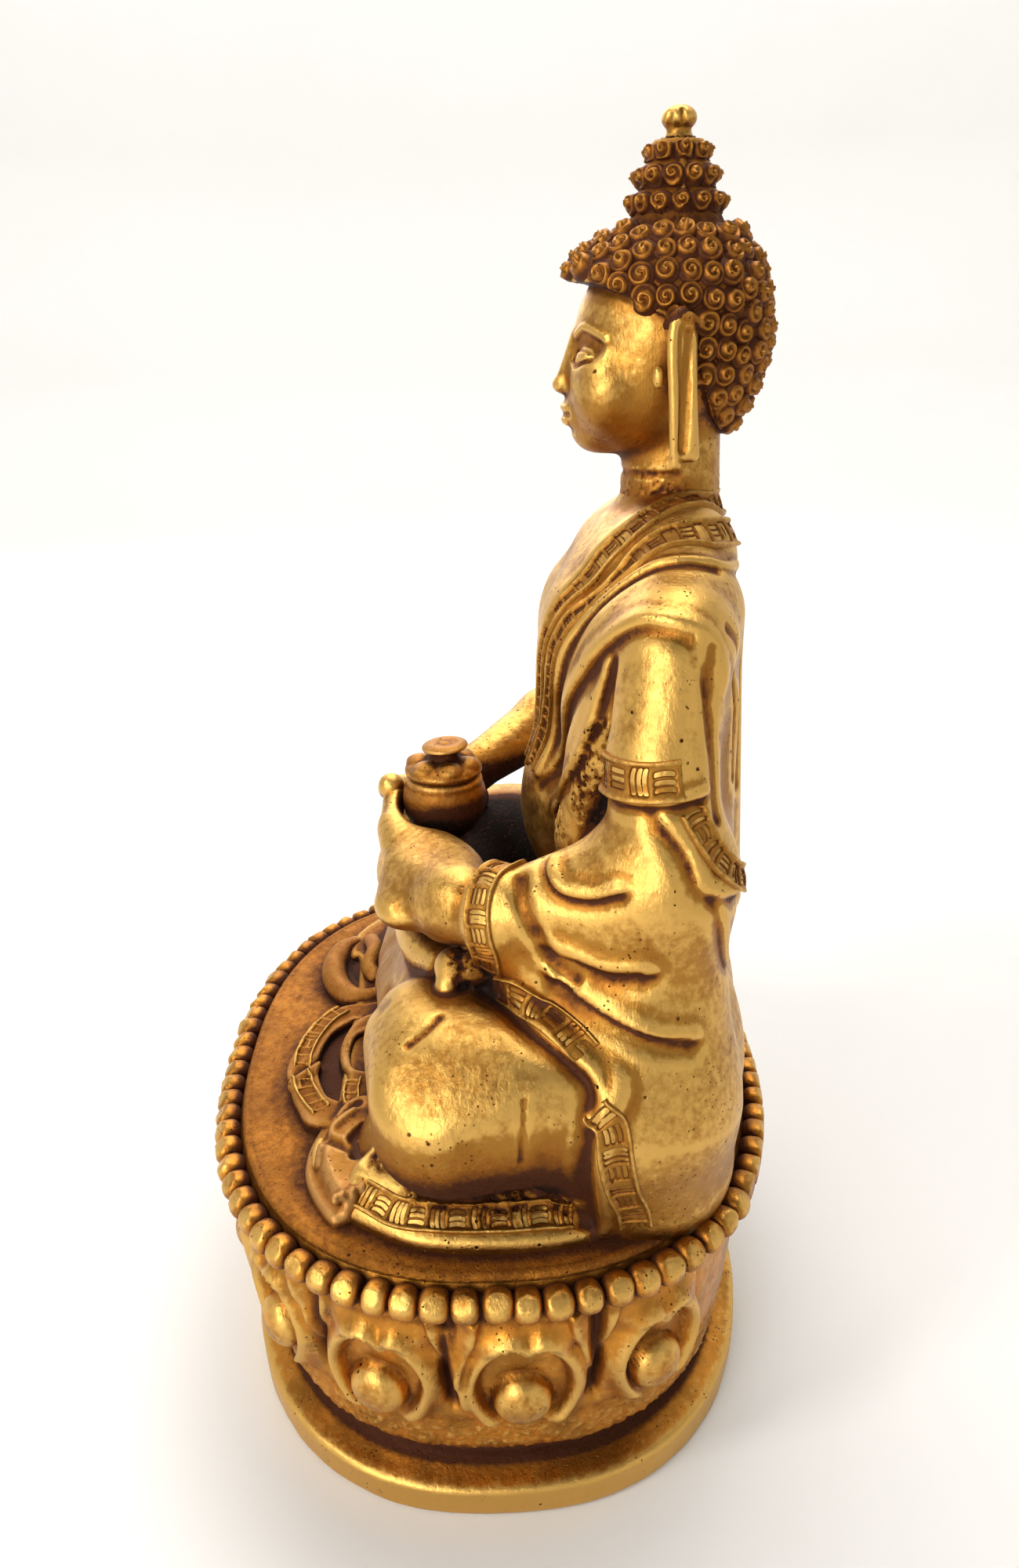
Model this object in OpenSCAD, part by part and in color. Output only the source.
// Seated figure on a lotus base, gilt cast copper, built as separate castings and inner pieces.
// Millimetres, +Z up, the figure faces -Y, its left side is +X, z = 0 is the resting face.

/* [Base] */
// Half width of the bead rim, left to right, at the bead centres
rim_a = 31; // [30:0.5:34]
// Half depth of the bead rim, front to back, at the bead centres
rim_b = 24; // [23.5:0.5:27]
// Height of the top plate above the resting face
plate_z = 24.7; // [24:0.1:26]
// Radius of one bead of the rim
bead_r = 1.15; // [0.9:0.05:1.3]
// Number of beads in the rim
beads = 80; // [72:1:84]
// Distance from one lotus petal to the next along the rim
petal_pitch = 11.7; // [11.2:0.1:12.2]
// Number of petals on each side of the front one
side_petals = 5; // [2:1:5]
// Wall thickness of the castings
wall = 2; // [1.6:0.1:2.2]
// Thickness of the copper sheet under the base
sheet_t = 0.8; // [0.5:0.1:1]

/* [Figure] */
// Front to back place of the head and neck axis
head_y = 15.4; // [15:0.1:15.8]
// Height of the shoulder seat of the neck
neck_z = 74.5; // [74:0.1:75]
// Radius of the neck
neck_r = 3.8; // [3.6:0.1:4]
// Half width of the shoulders at the joint centres
shoulder_x = 15.6; // [15:0.1:16.2]
// Half width of the knees at the joint centres
knee_x = 23; // [22:0.1:23.4]

/* [Bowl] */
// Largest radius of the alms bowl
bowl_r = 3.65; // [3.4:0.05:3.8]
// Height of the bowl's foot
bowl_z = 46.8; // [46.6:0.1:47]
// Front to back place of the bowl
bowl_y = -3.3; // [-3.6:0.1:-3]

/* [Inside] */
// Radius of the wooden rod
rod_r = 1.3; // [1:0.1:1.4]
// Front to back place of the wooden rod
rod_y = 11.8; // [11.5:0.1:12]
// Top of the wooden rod
rod_top = 66; // [55:1:67]
// Radius of one paper roll in the base
roll_r = 2.6; // [2:0.1:2.8]

/* [Hidden] */

// Fineness of the sculpted forms, fingers, petals, beads and curls
form_fn = 18;
finger_fn = 10;
leaf_fn = 8;
stud_fn = 5;
// Fineness of turned pieces, and of holes and spigots in the castings
hole_fn = 24;
turn_fn = 64;
outline_n = 56;
// Exponent of the base outline, 2 would be an ellipse
oval = 2.4;
eps = 0.01;

// Depth below the rim outline of each ring of the base, from the foot up: [height, inset]
foot_rings = [[0, 0.7], [2.3, 0.7], [2.9, 1.2], [4.2, 3.2], [5.6, 4.7], [7, 5], [8.6, 4.2],
    [11, 2.7], [15, 1.6], [19, 1], [21.9, 0.9], [22.2, 0.5], [plate_z, 0.5]];
// Inside of the hollow base, from the sheet up
core_rings = [[0, 3.4], [2.6, 4.6], [4.2, 5 + wall], [8.6, 5 + wall], [11, 3 + wall],
    [20, 1.8 + wall], [22.5, 1.8 + wall]];
sheet_inset = 2;
sheet_z = 1.2;
ceiling_z = 22.5;
tab_count = 12;

// Joints of the castings
spigot_r = 3;
spigot_len = 4.5;
arm_spigot_r = 1.5;
arm_spigot_len = 5.5;
hand_spigot_r = 1.9;
hand_spigot_len = 5;
pin_r = 0.5;
rivet_r = 0.9;
rivet_grip = 2.4;
rivet_spots = [[20, 6], [-20, 6], [15, -9], [-15, -9]];

shoulder = [shoulder_x, 14.2, 68.3];
left_elbow = [20.2, 14.2, 53];
left_cuff = [16.6, 0.5, 47];
left_wrist = [13, -3, 46.6];
right_elbow = [-20.4, 13.6, 53.5];
right_wrist = [-9, -1, 49.2];
right_spigot = [-16.8, 14.1, 62.8];
bowl_top = 53.2;
tier_z = [94.8, 96.5, 98.2];
tier_r = [4, 3.5, 2.8];
crown_z = 99.7;
skull = [0, 15.1, 87];

// ---------- helpers ----------

// Radius that makes a many-sided hole clear a round pin of radius r
function clear_r(r) = r / cos(180 / hole_fn);

// Point of the oval outline with half axes a and b at angle t
function oval_pt(a, b, t) = [a * sign(cos(t)) * pow(abs(cos(t)), 2 / oval),
    b * sign(sin(t)) * pow(abs(sin(t)), 2 / oval)];

function oval_points(inset, n = outline_n) =
    [for (i = [0 : n - 1]) oval_pt(rim_a - inset, rim_b - inset, 360 * i / n)];

// Running length of the rim outline against its angle, from the front centre
walk_n = 720;
walk = [for (i = 0, s = 0; i <= walk_n;
    s = s + norm(oval_pt(rim_a, rim_b, 270 + 360 * (i + 1) / walk_n)
        - oval_pt(rim_a, rim_b, 270 + 360 * i / walk_n)), i = i + 1) [s, 270 + 360 * i / walk_n]];
rim_len = walk[walk_n][0];
function angle_at(s) = lookup((s + rim_len) % rim_len, walk);

// Places a child at length s along the rim, local +Y pointing outwards
module on_rim(s) {
    t = angle_at(s);
    p = oval_pt(rim_a, rim_b, t);
    d = oval_pt(rim_a, rim_b, t + 0.5) - oval_pt(rim_a, rim_b, t - 0.5);
    translate([p[0], p[1], 0]) rotate(atan2(d[1], d[0]) + 180) children();
}

// Closed solid lofted through the oval rings given as [height, inset]
module oval_loft(rings, n = outline_n) {
    last = len(rings) - 1;
    pts = [for (r = rings) for (q = oval_points(r[1], n)) [q[0], q[1], r[0]]];
    sides = [for (k = [0 : last - 1]) for (i = [0 : n - 1]) let (j = (i + 1) % n)
        each [[k * n + i, (k + 1) * n + i, (k + 1) * n + j], [k * n + i, (k + 1) * n + j, k * n + j]]];
    bottom = [[for (i = [0 : n - 1]) i]];
    top = [[for (i = [n - 1 : -1 : 0]) last * n + i]];
    polyhedron(points = pts, faces = concat(sides, bottom, top), convexity = 4);
}

module oval_slab(inset, z0, z1) {
    translate([0, 0, z0]) linear_extrude(z1 - z0) polygon(oval_points(inset));
}

// Sphere of radius r stretched by s
module ball(p, r, s = [1, 1, 1]) {
    translate(p) scale(s) sphere(r, $fn = form_fn);
}

// Rounded limb between two spheres
module limb(p, rp, q, rq) {
    hull() {
        ball(p, rp);
        ball(q, rq);
    }
}

// Finger or thumb between two small spheres
module finger(p, rp, q, rq) {
    hull() {
        translate(p) sphere(rp, $fn = finger_fn);
        translate(q) sphere(rq, $fn = finger_fn);
    }
}

// Straight rod of radius r from p, length h, along the direction d
module rod_along(p, d, r, h) {
    translate(p)
        rotate([0, acos(d[2] / norm(d)), atan2(d[1], d[0])])
            cylinder(r = r, h = h, $fn = hole_fn);
}

module both_sides() {
    children();
    mirror([1, 0, 0]) children();
}

// ---------- base ----------

// One lotus petal: a leaf that swells outwards with a round boss on it
module petal() {
    hull() {
        for (x = [-2.7, 2.7]) translate([x, -2.4, 18.6]) sphere(2.7, $fn = leaf_fn);
        translate([0, -2.6, 19.8]) sphere(2.6, $fn = leaf_fn);
        translate([0, -5, 9.6]) sphere(2.2, $fn = leaf_fn);
    }
    hull() {
        translate([0, -1.7, 15.4]) sphere(2.2, $fn = leaf_fn);
        translate([0, -3.4, 12]) sphere(2, $fn = leaf_fn);
    }
}

module bead() {
    hull() translate([0, 0, 23.45]) sphere(bead_r, $fn = stud_fn);
}

// Burrs raised from the foot and pressed over the sheet
module sheet_tabs() {
    for (i = [0 : tab_count - 1])
        on_rim(i * rim_len / tab_count)
            translate([-1, -3.4, 0]) cube([2, 1.9, sheet_z - sheet_t]);
}

module lotus_base() {
    color("darkgoldenrod") {
        difference() {
            union() {
                oval_loft(foot_rings);
                for (k = [-side_petals : side_petals]) on_rim(k * petal_pitch) petal();
                for (i = [0 : beads - 1]) on_rim(i * rim_len / beads) bead();
            }
            translate([0, 0, sheet_z]) oval_slab(3.4, -eps, 1);
            oval_loft(core_rings, outline_n);
            oval_slab(sheet_inset, -1, sheet_z);
            translate([0, rod_y, 20]) cylinder(r = 6.2, h = 6, $fn = hole_fn);
            for (p = rivet_spots)
                translate([p[0], p[1], 20]) cylinder(r = clear_r(rivet_r), h = 6, $fn = hole_fn);
        }
        sheet_tabs();
    }
}

module base_plate() {
    color("peru") oval_slab(sheet_inset, sheet_z - sheet_t, sheet_z);
}

// ---------- figure ----------

module torso_form() {
    hull() {
        translate([0, 12.6, plate_z]) linear_extrude(1) polygon([for (q = oval_points(0, 36))
            [q[0] * 0.8, q[1] * 0.42]]);
        ball([0, 13.2, 34], 9.6, [1.75, 1.05, 1]);
    }
    hull() {
        ball([0, 13.2, 34], 9.6, [1.75, 1.05, 1]);
        ball([0, 13.3, 50], 9.4, [1.02, 1, 0.8]);
    }
    hull() {
        ball([0, 13.3, 50], 9.4, [1.02, 1, 0.8]);
        ball([0, 13.7, 63], 8.2, [1.55, 1, 0.8]);
    }
    hull() {
        ball([0, 13.7, 63], 8.2, [1.55, 1, 0.8]);
        both_sides() ball(shoulder, 4.9);
        translate([0, head_y, neck_z - 3]) cylinder(r = neck_r + 1.2, h = 3, $fn = hole_fn);
    }
}

module legs_form() {
    both_sides() {
        limb([11, 12, 34.5], 9, [knee_x, 0, 34.3], 7.2);
        limb([knee_x, -0.5, 33.6], 6.6, [3, -9.5, 32.5], 5.6);
        hull() {
            ball([12, -3.5, 40.6], 2.3);
            ball([18, 1.5, 40.8], 1.6);
        }
        hull() {
            ball([10, 16, 31], 6.5);
            ball([21, 9, 28.6], 5.4);
        }
    }
    limb([-10, -5, 38], 4, [10, -4.8, 37.9], 3.9);
}

// Drapery that lies on the plate and fans out in front of the shins
module skirt_form() {
    hull() {
        translate([0, -1.2, plate_z]) linear_extrude(0.8) polygon([for (q = oval_points(0, 48))
            [q[0] * 0.93, q[1] * 0.7]]);
        translate([0, -0.5, plate_z + 2]) linear_extrude(1) polygon([for (q = oval_points(0, 48))
            [q[0] * 0.84, q[1] * 0.6]]);
    }
    hull() {
        for (x = [-9, 0, 9])
            translate([x, -14.4 + abs(x) / 9, plate_z]) cylinder(r = 5, h = 1.2, $fn = form_fn);
        translate([0, -8, plate_z]) cylinder(r = 8, h = 7, $fn = form_fn);
    }
}

module left_sleeve_form() {
    limb([shoulder_x + 0.4, 14.2, 67.5], 5, [19, 14.2, 60], 4.9);
    limb([19, 14.2, 60], 4.6, left_elbow, 5.2);
    limb(left_elbow, 5.2, left_cuff, 4);
    hull() {
        ball(left_elbow, 5.2);
        ball([19, 12, 40], 5.5);
        ball([16.5, 2.5, 43.5], 2.6);
    }
    // Decorated hem above the elbow
    translate([19.2, 14.2, 58.4]) cylinder(r = 5.2, h = 3.2, $fn = 32);
}

// Cloak that hangs down the back from the left shoulder
module cloak_form() {
    hull() {
        ball([13, 17.2, 66], 4.4);
        ball([8, 17.6, 45], 5.6);
        ball([17, 17, 40], 4.6);
    }
}

// Border of the robe from the nape over the chest to the waist
module border_form() {
    limb([7, 17.5, 73], 2, [9.5, 9.6, 69.6], 2);
    limb([9.5, 9.6, 69.6], 2, [1.5, 6, 60], 1.7);
    limb([1.5, 6, 60], 1.7, [-6.13, 6.37, 50.1], 1.57);
}

module body_outer() {
    intersection() {
        union() {
            torso_form();
            legs_form();
            skirt_form();
            left_sleeve_form();
            cloak_form();
            border_form();
        }
        translate([-40, -30, plate_z]) cube([80, 70, neck_z - plate_z]);
    }
}

module body_hollow() {
    translate([0, rod_y, plate_z - 1]) cylinder(r = 6.2, h = 12, $fn = hole_fn);
    hull() {
        ball([0, 12.8, 34], 6.6, [1.3, 0.95, 0.8]);
        ball([0, 13.1, 50], 6.2, [1.05, 1, 0.8]);
    }
    hull() {
        ball([0, 13.1, 50], 6.2, [1.05, 1, 0.8]);
        ball([0, 13.6, 64], 5.4, [1.5, 0.95, 0.75]);
    }
}

module neck_socket() {
    translate([0, head_y, neck_z - spigot_len])
        cylinder(r = spigot_r, h = spigot_len + 1, $fn = hole_fn);
}

// Hole or pin through the nape into the spigot
module neck_pin_form(r, n) {
    translate([0, head_y + 1.9, neck_z - 2.4]) rotate([-90, 0, 0]) cylinder(r = r, h = 4.4, $fn = n);
}

module right_spigot_form() {
    translate(right_spigot) cylinder(r = arm_spigot_r, h = arm_spigot_len, $fn = hole_fn);
}

module hand_spigot_form() {
    rod_along(left_wrist, left_cuff - left_wrist + [0, 1.2, 0.5], hand_spigot_r, hand_spigot_len + 4.9);
}

module figure_body() {
    color("goldenrod") difference() {
        body_outer();
        body_hollow();
        neck_socket();
        right_spigot_form();
        hand_spigot_form();
        bowl_seat();
        neck_pin_form(clear_r(pin_r), hole_fn);
        for (p = rivet_spots)
            translate([p[0], p[1], plate_z - 1]) cylinder(r = clear_r(rivet_r), h = 1 + rivet_grip, $fn = hole_fn);
    }
}

// ---------- arms and hands ----------

module right_arm_form() {
    limb([-16.9, 14.1, 65.2], 4.3, right_elbow, 3.7);
    limb(right_elbow, 3.7, right_wrist, 2.6);
    limb(right_wrist, 2.6, [-4, -4, 47], 2.3);
    for (i = [0 : 3])
        finger([-5.5, -6.6 + 1.6 * i, 46.4], 0.95, [3.5, -7.4 + 1.6 * i, 45.9], 0.8);
    finger([-6.5, -4, 48], 1.2, [-0.6, -8, 50.4], 0.85);
}

module right_arm() {
    color("gold") {
        difference() {
            right_arm_form();
            body_outer();
            bowl_seat();
            bowl_pin_form(clear_r(pin_r), hole_fn);
        }
        intersection() {
            right_spigot_form();
            translate([-40, 0, 0]) cube([40, 40, right_spigot[2] + arm_spigot_len]);
        }
    }
}

module left_hand_form() {
    limb(left_cuff, 2.7, left_wrist, 2.7);
    limb(left_wrist, 2.7, [6, -6.4, 46], 2.4);
    for (i = [0 : 3])
        finger([7, -8.2 + 1.7 * i, 44.8], 1, [-2, -8.6 + 1.7 * i, 44], 0.85);
    finger([7.5, -6.6, 47.4], 1.3, [0.8, -8.2, 50.6], 0.9);
}

module left_hand() {
    color("khaki") difference() {
        union() {
            difference() {
                left_hand_form();
                body_outer();
            }
            hand_spigot_form();
        }
        right_arm_form();
        bowl_seat();
        bowl_pin_form(clear_r(pin_r), hole_fn);
    }
}

// ---------- bowl ----------

bowl_profile = [[0, 0], [2.1, 0], [3.1, 1.3], [bowl_r, 3.4], [bowl_r - 0.1, 4.9], [3.1, 6.4],
    [2.4, 6.4], [2.9, 4.8], [2.9, 3.4], [2.3, 1.8], [0, 1]];

module bowl() {
    color("orange") difference() {
        translate([0, bowl_y, bowl_z]) rotate_extrude($fn = turn_fn) polygon(bowl_profile);
        bowl_pin_form(pin_r, turn_fn);
    }
}

// Room that the bowl takes in the hands
module bowl_seat() {
    side = clear_r(bowl_r) + eps;
    translate([0, bowl_y, bowl_z]) rotate_extrude($fn = hole_fn)
        polygon([[0, 0], [clear_r(2.1), 0], [clear_r(3.1), 1.3 - eps], [side, 3.4 - eps], [side, 8], [0, 8]]);
}

module bowl_cover() {
    color("yellow") translate([0, bowl_y, bowl_top]) rotate_extrude($fn = turn_fn)
        polygon([[0, -0.7], [2.35, -0.7], [2.35, 0], [3.1, 0], [2.9, 0.6], [1.6, 1.2], [1.5, 1.5],
            [2, 1.7], [2, 2.1], [1.7, 2.2], [0, 1.9]]);
}

module bowl_pin_form(r, n) {
    translate([0, bowl_y, bowl_z - 1.8]) cylinder(r = r, h = 2.4, $fn = n);
}

module bowl_pin() {
    color("saddlebrown") bowl_pin_form(pin_r, turn_fn);
}

// ---------- head ----------

module curl(p, r) {
    hull() translate(p) sphere(r, $fn = stud_fn);
}

// Rows of curls over the skull, above the hairline and down to the nape
module hair() {
    for (row = [0 : 7]) {
        tilt = 14 + 13.5 * row;
        count = max(6, round(17 * sin(tilt)));
        for (i = [0 : count - 1]) {
            a = 360 * (i + 0.5 * (row % 2)) / count;
            back = cos(a - 90);
            if (tilt < 62 + 60 * max(back, 0) * 1.1)
                curl(skull + [6.8 * cos(a) * sin(tilt), 6.9 * sin(a) * sin(tilt), 6.9 * cos(tilt)], 1.2);
        }
    }
}

module crown_tiers() {
    for (k = [0 : 2]) {
        top = k < 2 ? tier_z[k + 1] : crown_z;
        translate([0, head_y, tier_z[k]]) cylinder(r = tier_r[k] - 0.4, h = top - tier_z[k], $fn = form_fn);
        for (i = [0 : 9])
            curl([tier_r[k] * cos(36 * i) * 0.92, head_y + tier_r[k] * sin(36 * i) * 0.92,
                (tier_z[k] + top) / 2], 0.85);
    }
}

module ear() {
    hull() {
        translate([7.2, 13.4, 86]) sphere(1.4, $fn = leaf_fn);
        translate([8, 14.2, 87.4]) sphere(1, $fn = leaf_fn);
        translate([8, 14.4, 79.6]) sphere(1, $fn = leaf_fn);
        translate([7.2, 16, 80.4]) sphere(0.8, $fn = leaf_fn);
    }
}

module face_form() {
    hull() {
        ball(skull, 6.7, [1, 1.06, 1]);
        ball([0, 12.6, 82.4], 4.6, [1, 0.95, 0.9]);
    }
    hull() {
        ball([0, 8.2, 87.4], 0.5);
        ball([0, 7, 84.4], 0.8);
    }
    hull() {
        ball([-1, 8.2, 82.2], 0.5);
        ball([1, 8.2, 82.2], 0.5);
    }
    both_sides() hull() {
        ball([1.4, 8.6, 87], 0.6);
        ball([4, 10, 87], 0.6);
    }
}

module head() {
    color("goldenrod") difference() {
        union() {
            face_form();
            both_sides() ear();
            hair();
            crown_tiers();
            translate([0, head_y, 90]) cylinder(r1 = 5.6, r2 = tier_r[0] - 0.4, h = tier_z[0] - 90, $fn = form_fn);
            translate([0, head_y, neck_z]) cylinder(r = neck_r, h = 7, $fn = form_fn);
            translate([0, head_y, neck_z - spigot_len]) cylinder(r = spigot_r, h = spigot_len + 1, $fn = hole_fn);
        }
        translate([0, head_y, neck_z - 5]) cylinder(r = 1.5, h = 14, $fn = form_fn);
        ball(skull + [0, 0.4, 0.5], 4.4);
        neck_pin_form(clear_r(pin_r), hole_fn);
        finial_pin_form(clear_r(pin_r), hole_fn);
    }
}

module finial_pin_form(r, n) {
    translate([0, head_y, crown_z - 2.6]) cylinder(r = r, h = 2.6 + eps, $fn = n);
}

module finial() {
    color("gold") {
        translate([0, head_y, crown_z]) rotate_extrude($fn = turn_fn)
            polygon([[0, 0], [1.6, 0], [1.3, 0.35], [1, 0.8], [1, 1.1], [1.2, 1.5], [1.2, 1.9],
                [0.9, 2.35], [0.4, 2.55], [0, 2.6]]);
        finial_pin_form(pin_r, turn_fn);
    }
}

module neck_pin() {
    color("saddlebrown") intersection() {
        neck_pin_form(pin_r, turn_fn);
        translate([-2, 0, 60]) cube([4, head_y + 5.2, 20]);
    }
}

// ---------- fixings and filling ----------

module body_rivets() {
    color("chocolate") for (p = rivet_spots) translate([p[0], p[1], 0]) {
        translate([0, 0, ceiling_z - eps]) cylinder(r = rivet_r, h = plate_z + rivet_grip - ceiling_z, $fn = turn_fn);
        translate([0, 0, ceiling_z - 0.8]) cylinder(r = 1.8, h = 0.8, $fn = turn_fn);
    }
}

module life_tree() {
    color("burlywood") {
        translate([0, rod_y, sheet_z]) cylinder(r = rod_r, h = rod_top - 4 - sheet_z, $fn = turn_fn);
        translate([0, rod_y, rod_top - 4]) cylinder(r1 = rod_r, r2 = 0.3, h = 4, $fn = turn_fn);
    }
}

module paper_roll(r, h) {
    difference() {
        cylinder(r = r, h = h, $fn = turn_fn);
        translate([0, 0, -1]) cylinder(r = r / 5, h = h + 2, $fn = turn_fn);
    }
}

// Calls its children at each roll place of the base, and wraps nothing round the rod
module base_roll_spots() {
    for (row = [0 : 1])
        for (i = [-2 : 2])
            translate([7.5 * i, -10 + 8 * row, sheet_z]) children();
}

module mantra_rolls() {
    color("ivory") {
        for (i = [0 : 5])
            translate([2 * rod_r * cos(60 * i), rod_y + 2 * rod_r * sin(60 * i), sheet_z])
                paper_roll(rod_r, 45);
        base_roll_spots() paper_roll(roll_r, 17);
    }
}

module thread_band(r) {
    difference() {
        cylinder(r = r + 0.3, h = 0.9, $fn = turn_fn);
        translate([0, 0, -1]) cylinder(r = r, h = 3, $fn = turn_fn);
    }
}

module roll_bindings() {
    color("firebrick") {
        for (z = [8, 22, 38]) translate([0, rod_y, z]) thread_band(3 * rod_r);
        base_roll_spots() translate([0, 0, 8]) thread_band(roll_r);
    }
}

lotus_base();
base_plate();
figure_body();
head();
finial();
right_arm();
left_hand();
bowl();
bowl_cover();
bowl_pin();
neck_pin();
body_rivets();
life_tree();
mantra_rolls();
roll_bindings();
